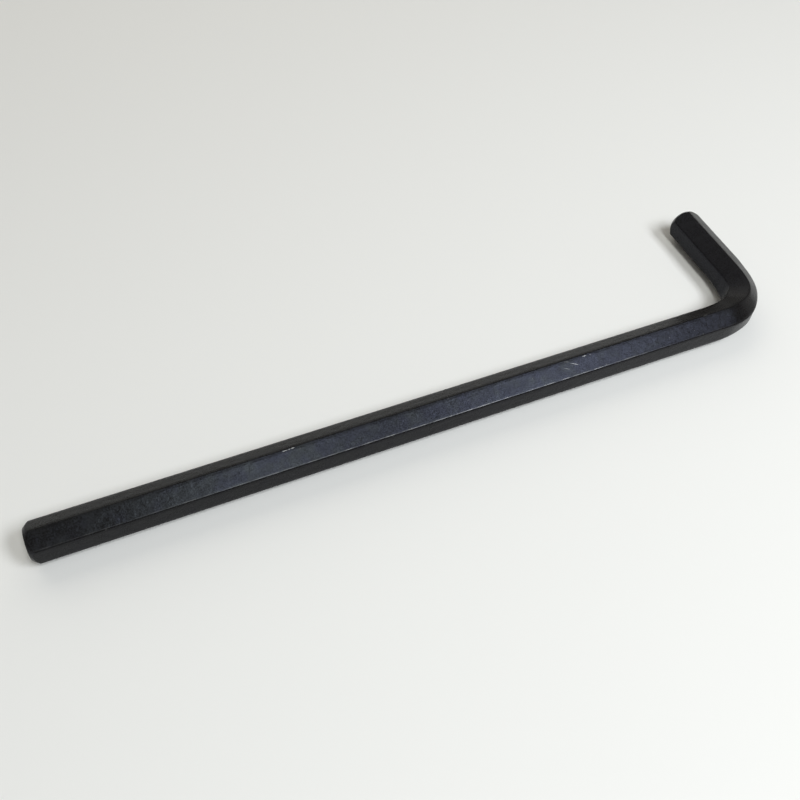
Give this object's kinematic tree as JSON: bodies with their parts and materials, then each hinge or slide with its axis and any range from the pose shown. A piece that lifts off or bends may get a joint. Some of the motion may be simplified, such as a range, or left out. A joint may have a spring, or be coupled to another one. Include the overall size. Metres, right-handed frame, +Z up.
{
  "type": "hex key",
  "caption": "L-shaped hexagonal key: one bar of blackened steel with a long arm, a single right-angle bend, a short arm and a chamfered tip at each end.",
  "frame": {"origin": "middle of the key's box in X and Y, on the surface that the key lies on", "axes": "+X along the long arm towards the bend, +Y the way that the short arm points, +Z up, square to the plane that the key is bent in"},
  "size_m": [0.234, 0.05, 0.0114],
  "materials": {
    "blackened_steel": "black oxide, satin, a little worn on the long edges"
  },
  "bodies": {
    "root": {"hex_key": "blackened_steel"}
  },
  "joints": []
}
